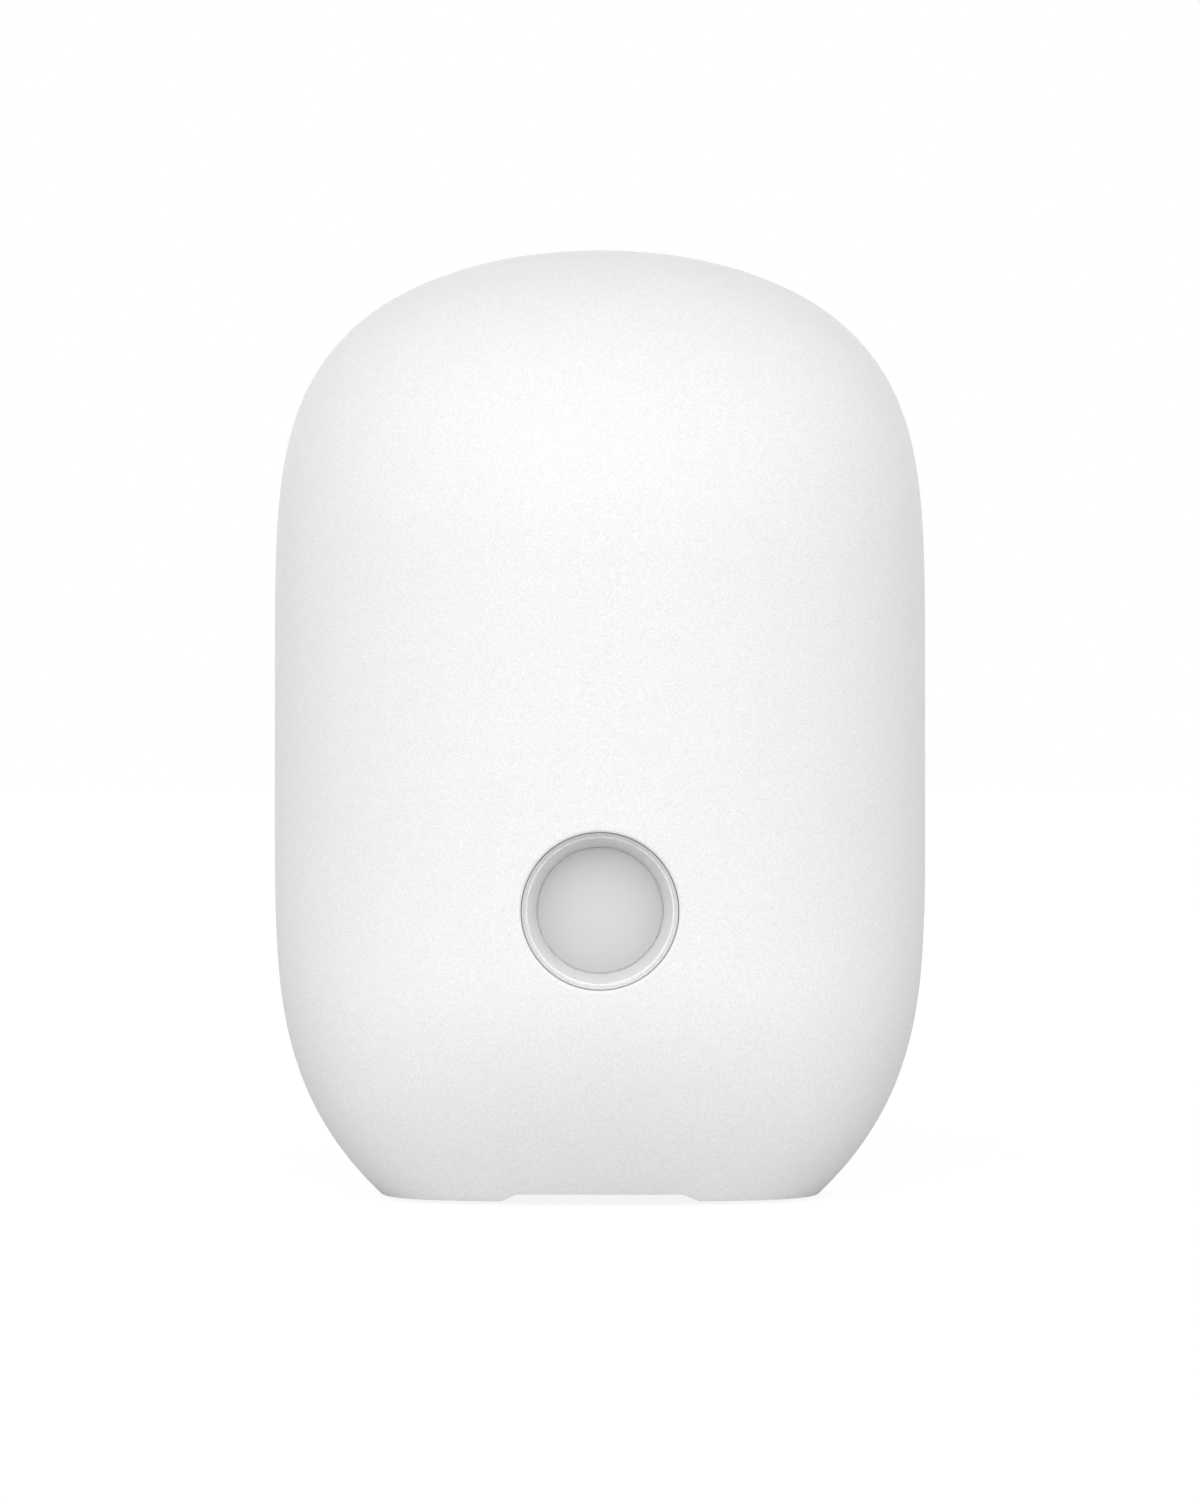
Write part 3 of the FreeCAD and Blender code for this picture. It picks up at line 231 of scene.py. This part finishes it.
def bezel_plastic():
    """The recess ring: a coarse grain on its ledge with painted shade in its pits, a polished,
    quieter wall inside it painted darker as painted shade for the recess, and a lip painted
    bright as painted light from the button face."""
    ledge = grey(0.965)
    # painted shade: pits darkens the pits of the ledge's grain, and wall is the recess wall painted
    # darker
    pits, wall = shade(ledge, 0.79), shade(ledge, 0.845)
    middle_of_noise = 0.5
    finish = Finish("bezel_white", ledge, roughness=0.45)
    on_ledge = finish.from_axis(LEDGE_RADIUS, LEDGE_RADIUS + EDGE_BLEND)
    grain = finish.mixed(on_ledge, middle_of_noise, finish.noise(0.22, detail=2))
    finish.vary_colour(grain, pits)
    finish.tint(finish.from_axis(LEDGE_RADIUS + EDGE_BLEND, LEDGE_RADIUS), wall)
    # painted light: the lip at the throat is painted bright, for light leaving the button's side
    finish.tint(finish.from_axis(THROAT_RADIUS + EDGE_BLEND, THROAT_RADIUS), GAP_PAINTED_LIGHT)
    finish.vary_roughness(finish.noise(GLOSS_DRIFT), low=0.42, high=0.48)
    return finish.bump(grain, depth=0.03)


def diffuser_plastic():
    """The milky button face, painted dimmer towards its rim as painted shade, and painted
    brighter on its side as painted light, for the light that it spreads inside and that leaves it."""
    heart = (0.655, 0.658, 0.658)
    # painted shade: rim is the face's colour, painted darker towards its edge
    rim = shade(heart, 0.80)
    finish = Finish("lens_white", heart, roughness=0.4)
    finish.tint(number_math(finish.tree, "POWER", finish.from_axis(0, LENS_RADIUS), 2), rim)
    side = LENS_RADIUS - EDGE_BLEND
    # painted light: the button's side is painted bright
    finish.tint(finish.from_axis(side - EDGE_BLEND, side), GAP_PAINTED_LIGHT)
    finish.vary_roughness(finish.noise(4), low=0.37, high=0.43)
    return finish.bump(finish.noise(0.5, detail=2), depth=0.002)


def bare_metal(name, colour, roughness, stretch):
    """Plain worked metal with fine drawn lines, closest together where stretch is largest."""
    finish = Finish(name, colour, roughness, Metallic=1)
    finish.vary_colour(finish.noise(TARNISH_DRIFT, detail=4), shade(colour, 1 - TARNISH))
    lines = finish.noise(LINE_WIDTH, detail=4, stretch=stretch)
    finish.vary_roughness(lines, roughness * LINE_SMOOTH, roughness * LINE_ROUGH)
    return finish.bump(lines, LINE_DEPTH)


# colour, roughness, and the size and depth of the grain in millimetres
PLASTICS = {
    "inner_plastic": ((0.72, 0.72, 0.70), 0.5, 0.5, 0.006),
    "panel_grey": (grey(0.80), 0.6, 0.34, 0.012),
    "black_plastic": ((0.012, 0.012, 0.013), 0.42, 0.4, 0.008),
    "foot_rubber": (grey(0.30), 0.8, 0.5, 0.02),
    "board_green": ((0.010, 0.075, 0.030), 0.35, 0.8, 0.01),
    "chip_black": ((0.018, 0.018, 0.019), 0.6, 0.15, 0.006),
    "pad_blue": ((0.16, 0.25, 0.38), 0.75, 0.4, 0.02),
    "light_clear": ((0.78, 0.80, 0.80), 0.2, 1, 0.003),
    "led_body": ((0.80, 0.76, 0.45), 0.25, 0.4, 0.004),
    "ribbon_white": ((0.70, 0.70, 0.67), 0.35, 0.6, 0.004),
    "coax_black": (grey(0.015), 0.45, 0.3, 0.008),
    "antenna_board": (grey(0.02), 0.4, 0.8, 0.01),
    "ferrite_grey": ((0.035, 0.035, 0.038), 0.7, 0.25, 0.015),
}
# colour, roughness, and how many times closer together the drawn lines are along each axis
METALS = {
    "shield_tin": ((0.62, 0.61, 0.58), 0.32, (1, 1, 8)),
    "heatsink_metal": ((0.66, 0.67, 0.68), 0.36, (8, 8, 0.3)),
    "screw_steel": ((0.48, 0.49, 0.51), 0.34, (4, 4, 4)),
    "contact_gold": ((0.75, 0.53, 0.20), 0.25, (6, 1, 6)),
    "capacitor_can": ((0.66, 0.67, 0.70), 0.28, (1, 6, 1)),
}
FINISHES = {
    # the shell's grain has painted shade in its pits
    "shell_white": grained_plastic("shell_white", grey(0.98), 0.55, 0.18, 0.022, painted_pit_shade=0.17),
    "bezel_white": bezel_plastic(),
    "lens_white": diffuser_plastic(),
}
for slot, values in PLASTICS.items():
    FINISHES[slot] = grained_plastic(slot, *values)
for slot, values in METALS.items():
    FINISHES[slot] = bare_metal(slot, *values)

for node, item in NODES.items():
    item.material_slots[0].material = FINISHES[SLOT_OF[node]].material

# ---------------------------------------------------------------- finely turned pieces

TURNED_SIDES = 256
FULL_TURN = 2 * math.pi
EDGE_ROUND, EDGE_STEPS = 0.04 * MM, 3
# corners sharper than this are rounded
SHARP_FROM = math.radians(25)

# distance from the button's axis and y of each corner in millimetres, as in the CAD nodes
# bezel_ring and button_lens. The first goes out along the recess's wall and ledge, and back
# round its flange and lip; the second goes along the button's face, side, flange and back.
RING_PROFILE = [
    (THROAT_RADIUS, -26.9), (9.7, -29.65), (9.9, -29.65), (10.4, -31.0), (10.4, -27.9),
    (13, -27.9), (13, -26.9), (10.4, -26.9), (10.4, -25), (9.25, -25), (9.25, -26.45),
    (THROAT_RADIUS, -26.45), (THROAT_RADIUS, -26.9)]
LENS_PROFILE = [
    (0, -26.75), (8.24, -26.75), (LENS_RADIUS, -26.6), (LENS_RADIUS, -26.3), (9.1, -26.3),
    (9.1, -24.95), (0, -24.95)]


def turned_mesh(name, profile):
    """A ring of points about the button's axis for each corner of a profile, and the faces
    between them. A closed profile ends on its first ring, and a corner on the axis is one point."""
    points, ring_of = [], {}
    for radius, y in profile:
        if (radius, y) in ring_of:
            continue
        sides = TURNED_SIDES if radius > 0 else 1
        ring_of[radius, y] = range(len(points), len(points) + sides)
        for side in range(sides):
            turn = FULL_TURN * side / TURNED_SIDES
            across, up = radius * MM * math.cos(turn), radius * MM * math.sin(turn)
            points.append((across, y * MM, BUTTON_HEIGHT + up))
    rings = [ring_of[corner] for corner in profile]
    faces = []
    for near, far in zip(rings, rings[1:]):
        for side in range(TURNED_SIDES):
            around = [ring[place % len(ring)] for ring, place in
                      ((near, side), (far, side), (far, side + 1), (near, side + 1))]
            faces.append(tuple(dict.fromkeys(around)))
    mesh = bpy.data.meshes.new(name)
    mesh.from_pydata(points, [], faces)
    return mesh


def turned(name, node, body, profile):
    """A smooth ring or disc about the button's axis, in place of a CAD node of the same size
    whose circles have fewer sides."""
    mesh = turned_mesh(name, profile)
    mesh.shade_smooth()
    mesh.materials.append(FINISHES[SLOT_OF[node]].material)
    piece = bpy.data.objects.new(name, mesh)
    bpy.context.scene.collection.objects.link(piece)
    rounding = piece.modifiers.new("edges", "BEVEL")
    rounding.width = EDGE_ROUND
    rounding.segments = EDGE_STEPS
    rounding.angle_limit = SHARP_FROM
    rounding.harden_normals = True
    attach(piece, body)
    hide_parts(node)


turned("recess_ring", "bezel_ring", "node_body", RING_PROFILE)
turned("button_face", "button_lens", "front_button", LENS_PROFILE)

# ---------------------------------------------------------------- camera

low, high = cad_box
TALL = high.z - low.z
CAMERA_DISTANCE = 0.73
# the camera looks level, at this share of the object's height, and takes in this many heights
AIM_HEIGHT = 0.4705 * TALL
VIEW_HEIGHT = 1.592 * TALL
SENSOR = 36
CLIP_NEAR, CLIP_FAR = 0.01, 50

camera_data = bpy.data.cameras.new("camera")
camera = bpy.data.objects.new("camera", camera_data)
bpy.context.scene.collection.objects.link(camera)
camera.location = (0, -CAMERA_DISTANCE, AIM_HEIGHT)
camera.rotation_euler = (math.radians(90), 0, 0)
camera_data.sensor_width = SENSOR
camera_data.lens = SENSOR * CAMERA_DISTANCE / VIEW_HEIGHT
camera_data.clip_start = CLIP_NEAR
camera_data.clip_end = CLIP_FAR
bpy.context.scene.camera = camera

# ---------------------------------------------------------------- floor and light

bpy.context.scene.view_settings.view_transform = "Standard"
FLOOR_RADIUS, FLOOR_SIDES = 8, 96
# the floor as the camera sees it, its own colour and its glow, and as it lights the object
PAPER_COLOUR, PAPER_GLOW = 0.14, 0.9
FLOOR_BOUNCE = 0.64
# the studio's even light, the side it leans to, and what each axis adds by squared direction
STUDIO_BASE = 0.68
STUDIO_LEAN = (-0.04, -0.31, -0.14)
STUDIO_SCREENS = (0, 1.49, -0.41)
# name, place and power of each lamp
LAMP_SIZE = 0.5
LAMPS = [
    ("key", (-0.25, -1.0, 0.8), 0.9),
    ("rear_fill", (0, 1.2, 0.15), 2.2)]
WHITE = (1, 1, 1, 1)


def seen_or_lit(tree, seen, lit):
    """A shader that shows one thing to the camera and lights the object as another."""
    path = tree.nodes.new("ShaderNodeLightPath")
    mix = tree.nodes.new("ShaderNodeMixShader")
    share, when_lit, when_seen = mix.inputs
    tree.links.new(path.outputs["Is Camera Ray"], share)
    tree.links.new(lit, when_lit)
    tree.links.new(seen, when_seen)
    return mix.outputs["Shader"]


def round_floor(radius, sides):
    """A seamless white sheet: almost white to the camera, a softer grey to the object."""
    mesh = bpy.data.meshes.new("floor")
    turns = [FULL_TURN * side / sides for side in range(sides)]
    rim = [(radius * math.cos(turn), radius * math.sin(turn), 0) for turn in turns]
    mesh.from_pydata(rim, [], [tuple(range(sides))])
    floor = bpy.data.objects.new("floor", mesh)
    bpy.context.scene.collection.objects.link(floor)
    paper = Finish(
        "floor_paper", grey(PAPER_COLOUR), roughness=1, Specular_IOR_Level=0,
        Emission_Color=WHITE, Emission_Strength=PAPER_GLOW)
    bounce = paper.tree.nodes.new("ShaderNodeBsdfDiffuse")
    bounce.inputs["Color"].default_value = (*grey(FLOOR_BOUNCE), 1)
    shown = seen_or_lit(paper.tree, paper.shader.outputs["BSDF"], bounce.outputs["BSDF"])
    paper.link(shown, paper.tree.nodes["Material Output"].inputs["Surface"])
    mesh.materials.append(paper.material)


def soft_world(base, lean, screens):
    """Studio light by direction: an even base, more from the side that lean points to,
    and more, or less, along each axis as the squares of the direction go."""
    world = bpy.data.worlds.new("studio")
    bpy.context.scene.world = world
    world.use_nodes = True
    tree = world.node_tree
    light = tree.nodes["Background"]
    light.inputs["Color"].default_value = WHITE
    direction = tree.nodes.new("ShaderNodeTexCoord").outputs["Generated"]
    leaning = vector_math(tree, "DOT_PRODUCT", direction, lean)
    squares = vector_math(tree, "MULTIPLY", direction, direction)
    along_axes = vector_math(tree, "DOT_PRODUCT", squares, screens)
    strength = number_math(tree, "ADD", number_math(tree, "ADD", leaning, base), along_axes)
    tree.links.new(strength, light.inputs["Strength"])
    backdrop = tree.nodes.new("ShaderNodeBackground")
    backdrop.inputs["Color"].default_value = WHITE
    shown = seen_or_lit(tree, backdrop.outputs["Background"], light.outputs["Background"])
    tree.links.new(shown, tree.nodes["World Output"].inputs["Surface"])


def area_light(name, place, power):
    """A square lamp, out of sight itself, that faces the middle of the object."""
    data = bpy.data.lights.new(name, "AREA")
    data.size = LAMP_SIZE
    data.energy = power
    lamp = bpy.data.objects.new(name, data)
    bpy.context.scene.collection.objects.link(lamp)
    lamp.visible_camera = False
    lamp.location = place
    aim = Vector((0, 0, (low.z + high.z) / 2)) - Vector(place)
    lamp.rotation_mode = "QUATERNION"
    lamp.rotation_quaternion = aim.to_track_quat("-Z", "Y")


round_floor(FLOOR_RADIUS, FLOOR_SIDES)
soft_world(STUDIO_BASE, STUDIO_LEAN, STUDIO_SCREENS)
for lamp_name, lamp_place, lamp_power in LAMPS:
    area_light(lamp_name, lamp_place, lamp_power)
